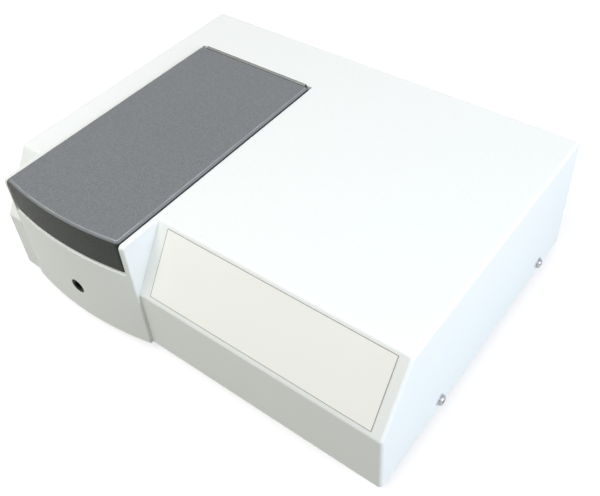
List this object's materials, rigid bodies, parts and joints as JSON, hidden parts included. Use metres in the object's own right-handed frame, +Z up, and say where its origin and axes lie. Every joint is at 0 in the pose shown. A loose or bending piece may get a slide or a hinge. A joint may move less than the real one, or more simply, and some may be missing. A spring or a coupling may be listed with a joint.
{
  "type": "transmission spectrophotometer",
  "caption": "Low bench spectrophotometer: white moulded cover with a sloped panel, hinged dark grey sample lid over a black sample compartment, and a round front port.",
  "frame": {"origin": "under the middle of the whole object, at the underside of the rubber feet", "axes": "+Z up, -Y towards the front with the sloped panel, +X to the right as seen from the front"},
  "size_m": [0.4484, 0.349, 0.1435],
  "materials": {
    "black_aluminium": "black anodised",
    "board_green": "green solder mask",
    "brass_bright": "nickel free brass",
    "bush_black": "smooth black",
    "chamber_black": "matt black moulding",
    "cover_white": "fine matt moulded texture, white",
    "feet_black": "black rubber",
    "grating_coat": "ruled coating",
    "lamp_yellow": "phosphor and clear cap",
    "lens_glass": "polished glass",
    "lid_grey": "grained dark grey moulding",
    "magnet_nickel": "nickel plated",
    "mirror_coat": "aluminium coated glass",
    "nameplate_white": "white laminated plate, satin",
    "parts_black": "moulded component cases",
    "plain_aluminium": "milled aluminium",
    "rocker_black": "glossy black",
    "seal_black": "soft black rubber edging",
    "sheet_steel": "light grey powder coat",
    "steel": "brushed stainless steel",
    "zinc_steel": "bright zinc plated"
  },
  "bodies": {
    "housing": {"base_plate": "sheet_steel", "board_parts": "parts_black", "board_screws": "zinc_steel", "board_standoffs": "brass_bright", "cell_fixed_jaw": "black_aluminium", "cell_rail": "black_aluminium", "collimating_mirror": "mirror_coat", "collimator_lens": "lens_glass", "compartment_screws": "zinc_steel", "cover_nuts": "zinc_steel", "cover_screws": "zinc_steel", "cover_washers": "zinc_steel", "detector_board": "board_green", "diffraction_grating": "grating_coat", "entrance_slit": "steel", "focusing_mirror": "mirror_coat", "foot_screws": "zinc_steel", "front_port_bush": "bush_black", "hinge_cover_leaf": "steel", "hinge_cover_screws": "zinc_steel", "hinge_pin": "steel", "inlet_pins": "brass_bright", "lamp_board": "plain_aluminium", "lamp_chip": "lamp_yellow", "lamp_heat_sink": "black_aluminium", "lens_barrel": "black_aluminium", "lid_seal": "seal_black", "lid_sensor": "parts_black", "main_board": "board_green", "nameplate": "nameplate_white", "power_inlet": "bush_black", "power_supply": "zinc_steel", "rear_panel": "sheet_steel", "rear_panel_screws": "zinc_steel", "rubber_feet": "feet_black", "sample_compartment": "chamber_black", "spectrometer_case": "black_aluminium", "spectrometer_lid": "black_aluminium", "spectrometer_posts": "plain_aluminium", "sphere_bracket": "black_aluminium", "sphere_far_half": "plain_aluminium", "sphere_near_half": "plain_aluminium", "sphere_screws": "zinc_steel", "switch_housing": "bush_black", "top_cover": "cover_white", "usb_port": "steel"},
    "lid": {"sample_lid": "lid_grey", "hinge_lid_leaf": "steel", "hinge_lid_screws": "zinc_steel", "lid_magnet": "magnet_nickel"},
    "sliding_jaw": {"cell_sliding_jaw": "black_aluminium"},
    "jaw_lock": {"jaw_lock_knob": "steel"},
    "rocker": {"switch_rocker": "rocker_black"}
  },
  "joints": [
    {"name": "lid_hinge", "type": "hinge", "parent": "housing", "child": "lid", "pos_m": [-0.114, 0.103, 0.1413], "axis": [-1, 0, 0], "range_deg": [0, 100]},
    {"name": "jaw_slide", "type": "slide", "parent": "housing", "child": "sliding_jaw", "axis": [-1, 0, 0], "range_m": [-0.012, 0.08]},
    {"name": "jaw_lock_turn", "type": "hinge", "parent": "sliding_jaw", "child": "jaw_lock", "pos_m": [-0.0794, -0.08, 0.0615], "axis": [0, -1, 0], "range_deg": [0, 180]},
    {"name": "rocker_pivot", "type": "hinge", "parent": "housing", "child": "rocker", "pos_m": [0.145, 0.16813, 0.042], "axis": [-1, 0, 0], "range_deg": [0, 22]}
  ]
}
